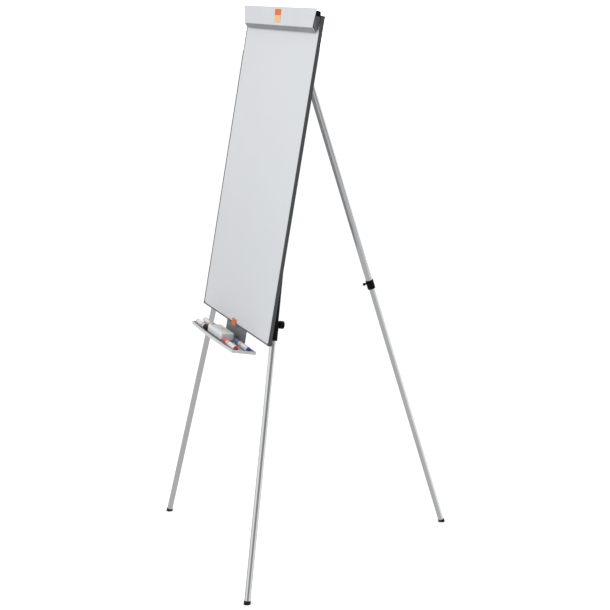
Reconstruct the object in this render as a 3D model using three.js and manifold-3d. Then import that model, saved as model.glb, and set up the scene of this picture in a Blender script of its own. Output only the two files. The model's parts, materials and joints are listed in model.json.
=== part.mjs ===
// Tripod flipchart easel: a leaning dry-wipe board with a paper clamp along its top, a pen
// tray hung below it, two splayed front legs and one rear leg, all three telescopic.
// Millimetres, +Z up, +X to the right of a person facing the board, +Y towards the rear leg.
// Most pieces live in the board's own frame: x across, y backwards through the board from
// its writing face, z up the board from its bottom edge.
import * as THREE from 'three';
import { mergeVertices } from 'three/addons/utils/BufferGeometryUtils.js';
import Module from 'manifold-3d';

const wasm = await Module();
wasm.setup();

// ---- Driving dimensions ---------------------------------------------------------------

const GAP = 0.3;                 // clearance between touching pieces
const BOARD_W = 700;
const BOARD_H = 1000;
const BOARD_BOTTOM_Z = 774.9;    // height of the writing face's bottom edge above the floor
const LEAN = rad(10.39);         // how far the board leans back

const SHEET_T = 0.6;             // writing sheet
const CORE_T = 6.1;
const BACKING_T = 0.8;
const SHEET_INSET = 1.5;         // the panel stops this far inside the trims' outer edge
const TRIM_LIP = 4;              // how far a trim's lips reach over the panel
const TRIM_T = 1.0;
const TRIM_WEB = 1.2;
const CORNER = 8.5;              // corner caps cover this much of each edge
const BACK_Y = SHEET_T + CORE_T + BACKING_T + 2 * GAP;   // rear face of the panel
const TRIM_BACK_Y = BACK_Y + GAP + TRIM_T;

const OUTER_TUBE = 22.6;         // diameters of the legs' round tubes
const INNER_TUBE = 19;
const TUBE_WALL = 1.4;
const TUBE_SIDES = 32;
const INSERT = 100;              // inner tube kept inside the outer one when fully drawn out
const LEG_SPLAY = rad(10.56);    // of the front legs, in the plane of the board
const LEG_Y = 26.7;              // centre plane of the front legs behind the writing face
const PIVOT_X = 135;
const PIVOT_Z = 950;             // front legs' pivots, up the board
const REAR_PIVOT_Y = 46.5;       // rear leg's hinge pin, behind the writing face
const REAR_PIVOT_Z = 951;
const REAR_TILT = rad(17.33);    // rear leg from the vertical
const FRONT_OUTER = 925;         // front pivot to the outer tube's lower end
const REAR_OUTER = 876;
const TUBE_TOP = 18;             // outer tube above its pivot
const BOLT_R = 4;
const FOOT_D = 21.6;
const FOOT_H = 10;
const FOOT_FLOOR = 5;            // end of the inner tube above the floor, along the leg

const CLAMP_W = 700;             // cover of the paper clamp over all
const COVER_T = 1.5;
const COVER_TOP = 1019.5;
const COVER_Y = -22;             // top edge of the cover's front
const COVER_SLOPE = 4 / 56.5;    // its front leans back towards the board going down
const ROD_Y = -9;                // clamp hinge rod
const ROD_Z = 1007;
const ROD_R = 2;
const HOOK_X = 142;              // paper hooks from the middle

const TRAY_W = 454;
const TRAY_BACK = 9;
const TRAY_FRONT = -70;
const TRAY_BOW = 7;              // the front rim bows out by this much in the middle
const TRAY_Z = -54.3;            // underside of the tray
const TRAY_RIM = 9.3;
const TRAY_WALL = 1.8;
const TRAY_FLOOR = 1.9;

const MARKER_L = 132;
const MARKER_R = 8.5;

// ---- Colours and materials ------------------------------------------------------------

function material(color, roughness, metalness = 0) {
  return () => new THREE.MeshStandardMaterial({ color, roughness, metalness });
}

const whiteEnamel = material(0xe4e6e9, 0.3);
const fibreboard = material(0x9a8565, 0.9);
const greySteel = material(0x8f9396, 0.5, 0.3);
const darkTrim = material(0x55585a, 0.55);
const lightPlastic = material(0xc9ccce, 0.5);
const whitePaint = material(0xe6e8ea, 0.4);
const blackPlastic = material(0x121313, 0.5);
const blackPaint = material(0x1a1b1c, 0.45);
const aluminium = material(0xc4c7c9, 0.35, 0.9);
const zinc = material(0xa9abab, 0.35, 0.9);
const rubber = material(0x0e0e0e, 0.85);
const orange = material(0xe8772a, 0.5);
const whitePlastic = material(0xe9eaec, 0.4);
const redPlastic = material(0xc42f3c, 0.4);
const bluePlastic = material(0x2c4aa6, 0.4);
const greenPlastic = material(0x1f7a4a, 0.4);
const greyFelt = material(0x4a4c50, 0.95);

// ---- Geometry helpers -----------------------------------------------------------------

function rad(degrees) {
  return degrees * Math.PI / 180;
}

/** Turns a closed geometry into a manifold solid. */
function solid(geometry) {
  const bare = geometry.clone();
  bare.deleteAttribute('normal');
  bare.deleteAttribute('uv');
  const merged = mergeVertices(bare, 1e-4);
  const vertProperties = new Float32Array(merged.attributes.position.array);
  const triVerts = new Uint32Array(merged.index.array);
  return new wasm.Manifold(new wasm.Mesh({ numProp: 3, vertProperties, triVerts }));
}

/** Turns a manifold solid back into a geometry. */
function geometryOf(shape) {
  const mesh = shape.getMesh();
  const geometry = new THREE.BufferGeometry();
  geometry.setAttribute('position', new THREE.BufferAttribute(mesh.vertProperties, 3));
  geometry.setIndex(new THREE.BufferAttribute(mesh.triVerts, 1));
  geometry.computeVertexNormals();
  return geometry;
}

/** The first geometry with all the others cut away. */
function cut(base, ...tools) {
  const result = tools.reduce((body, tool) => body.subtract(solid(tool)), solid(base));
  return geometryOf(result);
}

/** All the geometries joined into one. */
function join(first, ...others) {
  const result = others.reduce((body, other) => body.add(solid(other)), solid(first));
  return geometryOf(result);
}

/** What two geometries share. */
function common(a, b) {
  return geometryOf(solid(a).intersect(solid(b)));
}

/** A block between two corners. */
function block([x0, x1], [y0, y1], [z0, z1]) {
  const geometry = new THREE.BoxGeometry(x1 - x0, y1 - y0, z1 - z0);
  return geometry.translate((x0 + x1) / 2, (y0 + y1) / 2, (z0 + z1) / 2);
}

/** A closed outline, from [u, v] points. */
function outline(points) {
  return new THREE.Shape(points.map(([u, v]) => new THREE.Vector2(u, v)));
}

/** A shape drawn in (y, z), extruded along X. */
function alongX(shape, x0, x1, curveSegments = 6) {
  const geometry = new THREE.ExtrudeGeometry(shape, { depth: x1 - x0, bevelEnabled: false, curveSegments });
  const turn = new THREE.Matrix4().set(0, 0, 1, x0, 1, 0, 0, 0, 0, 1, 0, 0, 0, 0, 0, 1);
  return geometry.applyMatrix4(turn);
}

/** A shape drawn in (x, z), extruded along Y. */
function alongY(shape, y0, y1, curveSegments = 6) {
  const geometry = new THREE.ExtrudeGeometry(shape, { depth: y1 - y0, bevelEnabled: false, curveSegments });
  return geometry.rotateX(Math.PI / 2).translate(0, y1, 0);
}

/** A shape drawn in (x, y), extruded along Z. */
function alongZ(shape, z0, z1, curveSegments = 6) {
  const geometry = new THREE.ExtrudeGeometry(shape, { depth: z1 - z0, bevelEnabled: false, curveSegments });
  return geometry.translate(0, 0, z0);
}

/** A rod along X, Y or Z between two stations, through a point of the other two axes. */
function rod(axis, radius, from, to, a, b, sides = 16) {
  const geometry = new THREE.CylinderGeometry(radius, radius, to - from, sides);
  const middle = (from + to) / 2;
  if (axis === 'x') return geometry.rotateZ(Math.PI / 2).translate(middle, a, b);
  if (axis === 'y') return geometry.translate(a, middle, b);
  return geometry.rotateX(Math.PI / 2).translate(a, b, middle);
}

/** A rectangle with rounded corners, centred at (cx, cy). */
function roundedRect(width, height, radius, cx = 0, cy = 0) {
  const x = width / 2 - radius;
  const y = height / 2 - radius;
  const shape = new THREE.Shape();
  shape.absarc(cx + x, cy + y, radius, 0, Math.PI / 2);
  shape.absarc(cx - x, cy + y, radius, Math.PI / 2, Math.PI);
  shape.absarc(cx - x, cy - y, radius, Math.PI, 1.5 * Math.PI);
  shape.absarc(cx + x, cy - y, radius, 1.5 * Math.PI, 2 * Math.PI);
  return shape;
}

/** The section of a bent sheet: a polyline given a thickness on its left-hand side. */
function bentSheet(points, thickness) {
  const path = points.map(([u, v]) => new THREE.Vector2(u, v));
  const directions = path.slice(1).map((point, i) => point.clone().sub(path[i]).normalize());
  const offsetPoint = (i) => {
    const before = directions[Math.max(i - 1, 0)];
    const after = directions[Math.min(i, directions.length - 1)];
    const normal = new THREE.Vector2(-before.y - after.y, before.x + after.x).normalize();
    const reach = thickness / normal.dot(new THREE.Vector2(-before.y, before.x));
    return path[i].clone().addScaledVector(normal, reach);
  };
  const inner = path.map((_, i) => offsetPoint(i));
  return new THREE.Shape([...path, ...inner.reverse()]);
}

/** A lathe-turned piece whose axis lies along +X, from [radius, x] points. */
function turnedAlongX(profile, sides) {
  const points = profile.map(([radius, x]) => new THREE.Vector2(radius, x));
  return new THREE.LatheGeometry(points, sides).rotateZ(-Math.PI / 2);
}

/** A lathe-turned piece whose axis lies along +Y, from [radius, y] points. */
function turnedAlongY(profile, sides) {
  const points = profile.map(([radius, y]) => new THREE.Vector2(radius, y));
  return new THREE.LatheGeometry(points, sides);
}

/** A lathe-turned piece whose axis lies along +Z, from [radius, z] points. */
function turnedAlongZ(profile, sides) {
  return turnedAlongY(profile, sides).rotateX(Math.PI / 2);
}

/** Adds a named mesh to a group. */
function add(group, name, geometry, newMaterial) {
  const mesh = new THREE.Mesh(geometry, newMaterial());
  mesh.name = name;
  group.add(mesh);
  return mesh;
}

const SIDES = [['left', -1], ['right', 1]];

// ---- Board ----------------------------------------------------------------------------

/** The C section of an edge trim: u inwards from the outer edge, v through the board. */
function trimSection() {
  return [
    [0, -GAP - TRIM_T], [TRIM_LIP, -GAP - TRIM_T], [TRIM_LIP, -GAP], [TRIM_WEB, -GAP],
    [TRIM_WEB, BACK_Y + GAP], [TRIM_LIP, BACK_Y + GAP], [TRIM_LIP, TRIM_BACK_Y], [0, TRIM_BACK_Y],
  ];
}

function addPanel(board) {
  const x = BOARD_W / 2 - SHEET_INSET;
  const z = [SHEET_INSET, BOARD_H - SHEET_INSET];
  const coreY = SHEET_T + GAP;
  const backingY = coreY + CORE_T + GAP;
  add(board, 'writing_surface', block([-x, x], [0, SHEET_T], z), whiteEnamel);
  add(board, 'board_core', block([-x, x], [coreY, coreY + CORE_T], z), fibreboard);
  add(board, 'backing_sheet', block([-x, x], [backingY, BACK_Y], z), greySteel);
}

function addTrims(board) {
  const end = CORNER + GAP;
  const half = BOARD_W / 2;
  for (const [side, sign] of SIDES) {
    const section = outline(trimSection().map(([u, v]) => [sign * (half - u), v]));
    add(board, `trim_${side}`, alongZ(section, end, BOARD_H - end), darkTrim);
  }
  const bottom = outline(trimSection().map(([u, v]) => [v, u]));
  const top = outline(trimSection().map(([u, v]) => [v, BOARD_H - u]));
  add(board, 'trim_bottom', alongX(bottom, -half + end, half - end), darkTrim);
  add(board, 'trim_top', alongX(top, -half + end, half - end), darkTrim);
}

/** A moulded cap that wraps one corner of the panel. */
function cornerCap(signX, signZ) {
  const proud = 0.5;
  const outer = BOARD_W / 2 + proud;
  const inner = BOARD_W / 2 - CORNER;
  const cap = block([inner, outer], [-GAP - TRIM_T - proud, TRIM_BACK_Y + proud], [-proud, CORNER]);
  const pocket = block([inner - 1, BOARD_W / 2 - TRIM_WEB], [-GAP, BACK_Y + GAP], [TRIM_WEB, CORNER + 1]);
  const shape = cut(cap, pocket);
  if (signZ > 0) shape.rotateX(Math.PI).translate(0, BACK_Y, BOARD_H);
  if (signX < 0) shape.rotateZ(Math.PI).translate(0, BACK_Y, 0);
  return shape;
}

function addCornerCaps(board) {
  for (const [side, signX] of SIDES) {
    add(board, `corner_cap_bottom_${side}`, cornerCap(signX, -1), lightPlastic);
    add(board, `corner_cap_top_${side}`, cornerCap(signX, 1), lightPlastic);
  }
}

// ---- Paper clamp ----------------------------------------------------------------------

const RAIL_HALF = CLAMP_W / 2 - 9;
const RAIL_Y = -1.7;             // rear face of the rail
const RAIL_T = 1.5;
const RAIL_TOP = 1002;
const RAIL_LOW = 972;
const END_CAP_X = [RAIL_HALF + 1.2, RAIL_HALF + 4.2];

/** Fixed rail: a plate on the board with a top flange and a J-shaped track for the hooks. */
function addRail(board) {
  const frontY = RAIL_Y - RAIL_T;
  const section = outline([
    [RAIL_Y, RAIL_LOW], [RAIL_Y, RAIL_TOP], [-18.4, RAIL_TOP], [-18.4, RAIL_TOP - 2.5],
    [frontY, RAIL_TOP - 2.5], [frontY, RAIL_LOW + RAIL_T], [-7.8, RAIL_LOW + RAIL_T],
    [-7.8, RAIL_LOW + 5], [-9, RAIL_LOW + 5], [-9, RAIL_LOW],
  ]);
  add(board, 'clamp_rail', alongX(section, -RAIL_HALF, RAIL_HALF), blackPaint);

  const wedge = outline([[-17.5, 996.8], [-12, 966], [-9, 957], [-4.5, 957], [-2.2, 996.8]]);
  for (const [side, sign] of SIDES) {
    const span = sign > 0 ? END_CAP_X : [-END_CAP_X[1], -END_CAP_X[0]];
    add(board, `rail_end_cap_${side}`, alongX(wedge, ...span), darkTrim);
  }
}

/** Fixed bearing block at one end of the clamp, with its bore for the hinge rod. */
function addHingeBlocks(board) {
  const upper = new THREE.Shape();
  upper.moveTo(-17.3, RAIL_TOP + GAP);
  upper.lineTo(-4, RAIL_TOP + GAP);
  upper.absarc(ROD_Y, ROD_Z, 5.5, -0.25, Math.PI / 2);
  upper.lineTo(-13.5, 1013);
  upper.lineTo(-17.3, 1013);
  const bore = rod('x', ROD_R + GAP, -400, 400, ROD_Y, ROD_Z, 20);
  for (const [side, sign] of SIDES) {
    const span = (a, b) => (sign > 0 ? [a, b] : [-b, -a]);
    const bearing = alongX(upper, ...span(328, END_CAP_X[1]));
    const ledge = block(span(RAIL_HALF + GAP, END_CAP_X[1]), [-17.3, -2.2], [997.1, RAIL_TOP + 1]);
    add(board, `hinge_block_${side}`, cut(join(bearing, ledge), bore), blackPlastic);
  }
  const reach = END_CAP_X[1] - 1;
  add(board, 'clamp_hinge_rod', rod('x', ROD_R, -reach, reach, ROD_Y, ROD_Z, 16), zinc);
}

/** Flip-up cover: a bent sheet with a top flange, a tapered front and a gripping flange. */
function addCover(board) {
  const bends = [[-14, COVER_TOP], [COVER_Y, COVER_TOP], [-18, 963], [-7, 951]];
  const half = CLAMP_W / 2;
  const sheet = alongX(bentSheet(bends, COVER_T), -half, half);
  const right = [[half, 1030], [half, 1016], [half - 21, 963], [half - 26, 940]];
  const left = right.map(([x, z]) => [-x, z]).reverse();
  const ends = alongY(outline([...right, ...left]), -40, 10);
  add(board, 'clamp_cover', common(sheet, ends), whitePaint);

  const stripBends = [[-17, 961.2], [-6.6, 949.7]];
  const strip = bentSheet(stripBends, -1.6).getPoints().map((p) => [p.x, p.y]);
  add(board, 'grip_strip', alongX(outline(strip), -(half - 26), half - 26), darkTrim);

  const lug = new THREE.Shape();
  lug.absarc(ROD_Y, ROD_Z, 4.5, -Math.PI / 2, Math.PI / 2);
  lug.lineTo(-19.6, ROD_Z + 4.5);
  lug.lineTo(-19, ROD_Z - 3.5);
  lug.lineTo(-12, ROD_Z - 3.5);
  const hole = new THREE.Path().absarc(ROD_Y, ROD_Z, ROD_R + GAP, 0, 2 * Math.PI, true);
  lug.holes.push(hole);
  for (const [side, sign] of SIDES) {
    const span = sign > 0 ? [300, 325] : [-325, -300];
    add(board, `cover_lug_${side}`, alongX(lug, ...span, 10), blackPlastic);
  }

  const label = alongY(roundedRect(58, 43, 2), -0.4, 0, 3);
  const tag = add(board, 'cover_label', label, orange);
  const labelZ = 991;
  tag.position.set(6, COVER_Y + COVER_SLOPE * (COVER_TOP - labelZ) - GAP, labelZ);
  tag.rotation.x = Math.atan(COVER_SLOPE);
}

/** Paper hook: a slide in the rail's track with a peg that the pad hangs on. */
function addHooks(board) {
  const z = RAIL_LOW + RAIL_T + GAP;
  const foot = block([-9, 9], [-7.5, RAIL_Y - RAIL_T - GAP], [z, z + 14]);
  const peg = rod('y', 4, -14.6, -6, 0, z + 8, 14);
  const head = rod('y', 5.5, -16.5, -14, 0, z + 8.5, 14);
  for (const [side, sign] of SIDES) {
    const hook = add(board, `pad_hook_${side}`, join(foot, peg, head), blackPlastic);
    hook.position.x = sign * HOOK_X;
  }
}

// ---- Pen tray -------------------------------------------------------------------------

/** Plan of the tray, drawn in by an inset, with its bowed front edge. */
function trayPlan(inset) {
  const x = TRAY_W / 2 - inset;
  const plan = new THREE.Shape();
  plan.moveTo(x, TRAY_BACK - inset);
  plan.lineTo(-x, TRAY_BACK - inset);
  plan.lineTo(-x, TRAY_FRONT + inset);
  plan.quadraticCurveTo(0, TRAY_FRONT - 2 * TRAY_BOW + inset, x, TRAY_FRONT + inset);
  return plan;
}

function addTray(board) {
  const bodyShape = alongZ(trayPlan(0), TRAY_Z, TRAY_Z + TRAY_RIM, 16);
  const hollow = alongZ(trayPlan(TRAY_WALL), TRAY_Z + TRAY_FLOOR, TRAY_Z + TRAY_RIM + 5, 16);
  add(board, 'pen_tray', cut(bodyShape, hollow), lightPlastic);

  const plateY = TRIM_BACK_Y + GAP;
  const underside = TRAY_Z - GAP;
  const bends = [[plateY, 55], [plateY, underside], [-38, underside]];
  const bracket = bentSheet(bends, 1.6);
  add(board, 'tray_bracket', alongX(bracket, -104, 104), greySteel);

  const badgeY = -GAP - TRIM_T - GAP;
  const badge = alongY(roundedRect(40, 22, 3, 0, 4), badgeY - 0.8, badgeY, 4);
  add(board, 'board_badge', badge, orange);
}

// ---- Tray contents --------------------------------------------------------------------

/** Marker barrel with a narrow nib end, from its tail at x = 0. */
function markerBarrel() {
  const nibStart = MARKER_L * 0.68;
  const r = MARKER_R;
  return turnedAlongX([
    [0, 0], [r - 2.5, 0], [r - 1.2, 1.2], [r - 1.2, 9], [r, 9.6], [r, nibStart],
    [5.6, nibStart], [4.2, MARKER_L * 0.9], [1.6, MARKER_L * 0.93], [0, MARKER_L * 0.93],
  ], 20);
}

/** Marker cap, a cup that covers the nib end. */
function markerCap() {
  const mouth = MARKER_L * 0.68 + GAP;
  const r = MARKER_R + 0.4;
  return turnedAlongX([
    [6, mouth], [r, mouth], [r, MARKER_L - 3], [r - 2, MARKER_L],
    [0, MARKER_L], [0, MARKER_L * 0.96], [6, MARKER_L * 0.92], [6, mouth],
  ], 20);
}

/** Lays a marker in the tray: x of its tail, y of its axis, and which way its cap points. */
function addMarker(board, color, tailX, y, direction, capMaterial, tailRise = 0) {
  const z = TRAY_Z + TRAY_FLOOR + MARKER_R + 0.4 + GAP + tailRise;
  const place = new THREE.Group();
  place.position.set(tailX, y, z);
  place.rotation.y = Math.atan(tailRise / (MARKER_L - 3));
  if (direction < 0) place.rotation.z = Math.PI;
  add(place, `marker_${color}_barrel`, markerBarrel(), whitePlastic);
  add(place, `marker_${color}_cap`, markerCap(), capMaterial);
  board.add(place);
}

function addTrayContents(board) {
  addMarker(board, 'black', -222, -52, 1, blackPlastic);
  addMarker(board, 'green', -232, -25, 1, greenPlastic, 6.2);
  addMarker(board, 'red', 212, -53, -1, redPlastic);
  addMarker(board, 'blue', 212, -11, -1, bluePlastic);

  const floor = TRAY_Z + TRAY_FLOOR + GAP;
  const pad = alongZ(roundedRect(144, 41, 4), floor, floor + 5, 3);
  const shell = alongZ(roundedRect(148, 47, 6), floor + 5 + GAP, floor + 30, 4);
  const eraser = new THREE.Group();
  eraser.position.set(-14, -35.5, 0);
  add(eraser, 'eraser_felt', pad, greyFelt);
  add(eraser, 'eraser_body', shell, whitePlastic);
  board.add(eraser);
}

// ---- Leg brackets ---------------------------------------------------------------------

/** The frame of one front leg: origin at its pivot, +Z up the leg. */
function frontLegFrame(sign) {
  const frame = new THREE.Group();
  frame.position.set(sign * PIVOT_X, LEG_Y, PIVOT_Z);
  frame.rotation.y = -sign * LEG_SPLAY;
  frame.updateMatrix();
  return frame;
}

const BRACKET_Y = BACK_Y + GAP;
const BRACKET_T = 3;

/** Cross plate on the back that carries all three legs, with a splay stop for each front leg. */
function addCrossBracket(board) {
  const plateY = [BRACKET_Y, BRACKET_Y + BRACKET_T];
  let plate = block([-168, 168], plateY, [928, 974]);
  for (const [side, sign] of SIDES) {
    const frame = frontLegFrame(sign);
    const edge = OUTER_TUBE / 2 + GAP;
    const span = sign > 0 ? [edge, edge + 3] : [-edge - 3, -edge];
    const localY = (y) => y - LEG_Y;
    const ear = block([-14, 14], plateY.map(localY), [-58, 0]).applyMatrix4(frame.matrix);
    const stop = block(span, [localY(BRACKET_Y), 2], [-56, -30]).applyMatrix4(frame.matrix);
    const hole = rod('y', BOLT_R + GAP, -20, 60, sign * PIVOT_X, PIVOT_Z, 20);
    plate = cut(join(plate, ear, stop), hole);
    addPivotBolt(board, side, sign);
  }
  add(board, 'leg_cross_bracket', plate, blackPaint);
}

/** Shoulder bolt of a front leg: its shoulder keeps the tube off the cross plate. */
function addPivotBolt(board, side, sign) {
  const shoulder = BRACKET_Y + BRACKET_T + GAP;
  const tubeFront = LEG_Y - OUTER_TUBE / 2 - GAP;
  const tubeBack = LEG_Y + OUTER_TUBE / 2 + GAP;
  const profile = [
    [0, BRACKET_Y + 0.2], [BOLT_R, BRACKET_Y + 0.2], [BOLT_R, shoulder], [9, shoulder],
    [9, tubeFront], [BOLT_R, tubeFront], [BOLT_R, tubeBack], [8, tubeBack],
    [8, tubeBack + 3], [6, tubeBack + 5], [0, tubeBack + 5],
  ];
  const bolt = add(board, `leg_pivot_bolt_${side}`, turnedAlongY(profile, 20), zinc);
  bolt.position.set(sign * PIVOT_X, 0, PIVOT_Z);
}

/** Clevis for the rear leg, on the cross plate, and its hinge pin. */
function addRearHinge(board) {
  const baseY = BRACKET_Y + BRACKET_T + GAP;
  const inner = OUTER_TUBE / 2 + 0.8;
  const base = block([-30, 30], [baseY, baseY + 3], [930, 972]);
  const cheek = new THREE.Shape();
  cheek.moveTo(baseY, 932);
  cheek.lineTo(REAR_PIVOT_Y, REAR_PIVOT_Z - 12);
  cheek.absarc(REAR_PIVOT_Y, REAR_PIVOT_Z, 12, -Math.PI / 2, Math.PI / 2);
  cheek.lineTo(baseY, 970);
  const bore = rod('x', BOLT_R + GAP, -40, 40, REAR_PIVOT_Y, REAR_PIVOT_Z, 20);
  const leftCheek = alongX(cheek, -inner - 3, -inner);
  const rightCheek = alongX(cheek, inner, inner + 3);
  add(board, 'rear_hinge_bracket', cut(join(base, leftCheek, rightCheek), bore), blackPaint);

  const reach = inner + 3 + GAP;
  const pin = turnedAlongX([
    [0, -reach - 4], [7, -reach - 4], [7, -reach], [BOLT_R, -reach],
    [BOLT_R, reach], [7, reach], [7, reach + 4], [0, reach + 4],
  ], 20);
  add(board, 'rear_hinge_pin', pin, zinc).position.set(0, REAR_PIVOT_Y, REAR_PIVOT_Z);
}

// ---- Legs -----------------------------------------------------------------------------

/** A round tube open at both ends. */
function roundTube(diameter, z0, z1) {
  const outer = diameter / 2;
  const inner = outer - TUBE_WALL;
  return turnedAlongZ([[inner, z0], [outer, z0], [outer, z1], [inner, z1], [inner, z0]], TUBE_SIDES);
}

/** Sleeve that joins the tubes, with a boss for its knob: wide bore above, narrow below. */
function collar({ outerLength, collarD, collarAbove, collarBelow, knobZ, knobSide, knobRadius }) {
  const r = collarD / 2;
  const wide = OUTER_TUBE / 2 + GAP;
  const narrow = INNER_TUBE / 2 + GAP;
  const step = -outerLength - GAP;
  const top = -outerLength + collarAbove;
  const bottom = -outerLength - collarBelow;
  const sleeve = turnedAlongZ([
    [narrow, bottom], [r - 1, bottom], [r, bottom + 1.5], [r, top - 1], [r - 0.8, top],
    [wide, top], [wide, step], [narrow, step], [narrow, bottom],
  ], TUBE_SIDES);
  const bossZ = -outerLength + knobZ;
  const half = 0.65 * knobRadius;
  const boss = block([-half, half], [wide + 0.4, r + 1.5], [bossZ - half, bossZ + half]);
  if (knobSide < 0) boss.rotateZ(Math.PI);
  return join(sleeve, boss);
}

/** Fluted clamp knob, its axis along +Y from y = 0 outwards. */
function knob(radius, depth) {
  const grip = new THREE.Shape();
  const lobes = 8;
  const steps = lobes * 4;
  for (let i = 0; i < steps; i += 1) {
    const angle = i / steps * 2 * Math.PI;
    const r = radius - 0.06 * radius * (1 - Math.cos(lobes * angle)) / 2;
    const point = [r * Math.cos(angle), r * Math.sin(angle)];
    if (i === 0) grip.moveTo(...point);
    else grip.lineTo(...point);
  }
  grip.closePath();
  const neck = rod('y', radius * 0.6, 0, 2, 0, 0, 16);
  return join(alongY(grip, 1, depth), neck);
}

/** Rubber foot in the leg's frame, cut flat where it meets the floor. */
function foot(length, legToEasel) {
  const end = -length + FOOT_FLOOR;
  const lip = -length + FOOT_H;
  const r = FOOT_D / 2;
  const pocket = INNER_TUBE / 2 + GAP;
  const cup = turnedAlongZ([
    [0, -length - 8], [r, -length - 8], [r, lip - 1], [r - 0.6, lip],
    [pocket, lip], [pocket, end - GAP], [0, end - GAP],
  ], TUBE_SIDES);
  const floor = block([-2000, 2000], [-2000, 2000], [-100, 0]);
  return cut(cup, floor.applyMatrix4(legToEasel.clone().invert()));
}

/** One telescopic leg in its own frame: pivot at the origin, +Z up the leg. */
function addLeg(group, legToEasel, leg) {
  const { name, length, outerLength, pivotAxis, collarD, knobSide } = leg;
  const bore = rod(pivotAxis, BOLT_R + GAP, -30, 30, 0, 0, 20);
  const outer = cut(roundTube(OUTER_TUBE, -outerLength, TUBE_TOP), bore);
  add(group, `outer_tube_${name}`, outer, leg.outerMaterial);

  const plugR = OUTER_TUBE / 2 - TUBE_WALL - GAP;
  const lidR = OUTER_TUBE / 2;
  const plug = turnedAlongZ([
    [0, TUBE_TOP - 8], [plugR, TUBE_TOP - 8], [plugR, TUBE_TOP + GAP], [lidR, TUBE_TOP + GAP],
    [lidR, TUBE_TOP + 2], [lidR - 1.5, TUBE_TOP + 3.5], [0, TUBE_TOP + 3.5],
  ], TUBE_SIDES);
  add(group, `top_plug_${name}`, plug, blackPlastic);

  add(group, `clamp_collar_${name}`, collar(leg), blackPlastic);
  const grip = add(group, `clamp_knob_${name}`, knob(leg.knobRadius, leg.knobDepth), blackPlastic);
  grip.position.set(0, knobSide * (collarD / 2 + 1.5 + GAP), -outerLength + leg.knobZ);
  if (knobSide < 0) grip.rotation.z = Math.PI;

  const inner = roundTube(INNER_TUBE, -length + FOOT_FLOOR, -outerLength + INSERT);
  add(group, `inner_tube_${name}`, inner, aluminium);
  add(group, `foot_${name}`, foot(length, legToEasel), rubber);
}

function addFrontLegs(board) {
  const floorZ = -(BOARD_BOTTOM_Z - LEG_Y * Math.sin(LEAN)) / Math.cos(LEAN);
  for (const [name, sign] of SIDES) {
    const frame = frontLegFrame(sign);
    const legToEasel = board.matrix.clone().multiply(frame.matrix);
    addLeg(frame, legToEasel, {
      name, length: (PIVOT_Z - floorZ) / Math.cos(LEG_SPLAY), outerLength: FRONT_OUTER,
      pivotAxis: 'y', collarD: 26.6, collarAbove: 32, collarBelow: 30, outerMaterial: blackPaint,
      knobRadius: 12.3, knobDepth: 14, knobSide: 1, knobZ: 21,
    });
    board.add(frame);
  }
}

function addRearLeg(easel) {
  const frame = new THREE.Group();
  const y = REAR_PIVOT_Y * Math.cos(LEAN) + REAR_PIVOT_Z * Math.sin(LEAN);
  const z = BOARD_BOTTOM_Z - REAR_PIVOT_Y * Math.sin(LEAN) + REAR_PIVOT_Z * Math.cos(LEAN);
  frame.position.set(0, y, z);
  frame.rotation.x = REAR_TILT;
  frame.updateMatrix();
  addLeg(frame, frame.matrix, {
    name: 'rear', length: z / Math.cos(REAR_TILT), outerLength: REAR_OUTER,
    pivotAxis: 'x', collarD: 26.4, collarAbove: 19, collarBelow: 12, outerMaterial: aluminium,
    knobRadius: 5.2, knobDepth: 11, knobSide: -1, knobZ: 11,
  });
  easel.add(frame);
}

// ---- Assembly -------------------------------------------------------------------------

const easel = new THREE.Group();
const board = new THREE.Group();
board.position.z = BOARD_BOTTOM_Z;
board.rotation.x = -LEAN;
board.updateMatrix();
easel.add(board);

addPanel(board);
addTrims(board);
addCornerCaps(board);
addRail(board);
addHingeBlocks(board);
addCover(board);
addHooks(board);
addTray(board);
addTrayContents(board);
addCrossBracket(board);
addRearHinge(board);
addFrontLegs(board);
addRearLeg(easel);

// The origin sits on the floor, under the middle of the whole easel.
easel.updateMatrixWorld(true);
const extent = new THREE.Box3().setFromObject(easel, true);
easel.position.y = -(extent.min.y + extent.max.y) / 2;

export default easel;
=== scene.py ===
"""Looks of a tripod flipchart easel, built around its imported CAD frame.

Local shapes are in millimetres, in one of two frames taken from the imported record:
the board's (x across, y backwards through the board, z up it from its bottom edge), or a
leg's (z up the leg from its pivot). Lights, camera and floor are in metres.
"""

import json
from math import cos, pi, radians, sin

import bmesh
import bpy
from mathutils import Matrix, Vector

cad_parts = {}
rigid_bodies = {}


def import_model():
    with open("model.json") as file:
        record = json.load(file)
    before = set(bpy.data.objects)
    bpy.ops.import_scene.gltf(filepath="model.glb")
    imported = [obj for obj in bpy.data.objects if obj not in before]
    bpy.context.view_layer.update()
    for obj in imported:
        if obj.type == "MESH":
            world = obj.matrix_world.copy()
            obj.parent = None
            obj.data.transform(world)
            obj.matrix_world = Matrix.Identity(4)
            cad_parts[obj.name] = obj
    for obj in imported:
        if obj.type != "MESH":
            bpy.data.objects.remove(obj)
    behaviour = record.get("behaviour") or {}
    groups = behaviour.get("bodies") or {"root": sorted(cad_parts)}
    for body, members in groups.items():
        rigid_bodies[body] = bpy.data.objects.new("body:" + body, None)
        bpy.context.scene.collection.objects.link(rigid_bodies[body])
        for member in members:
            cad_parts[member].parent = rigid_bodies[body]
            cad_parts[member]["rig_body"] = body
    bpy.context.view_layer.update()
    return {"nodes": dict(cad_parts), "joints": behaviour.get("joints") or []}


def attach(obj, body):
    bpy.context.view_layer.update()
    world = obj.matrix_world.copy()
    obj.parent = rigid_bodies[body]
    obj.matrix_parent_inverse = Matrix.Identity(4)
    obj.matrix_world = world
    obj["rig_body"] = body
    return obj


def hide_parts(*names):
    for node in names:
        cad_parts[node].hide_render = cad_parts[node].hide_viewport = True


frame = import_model()

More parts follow.
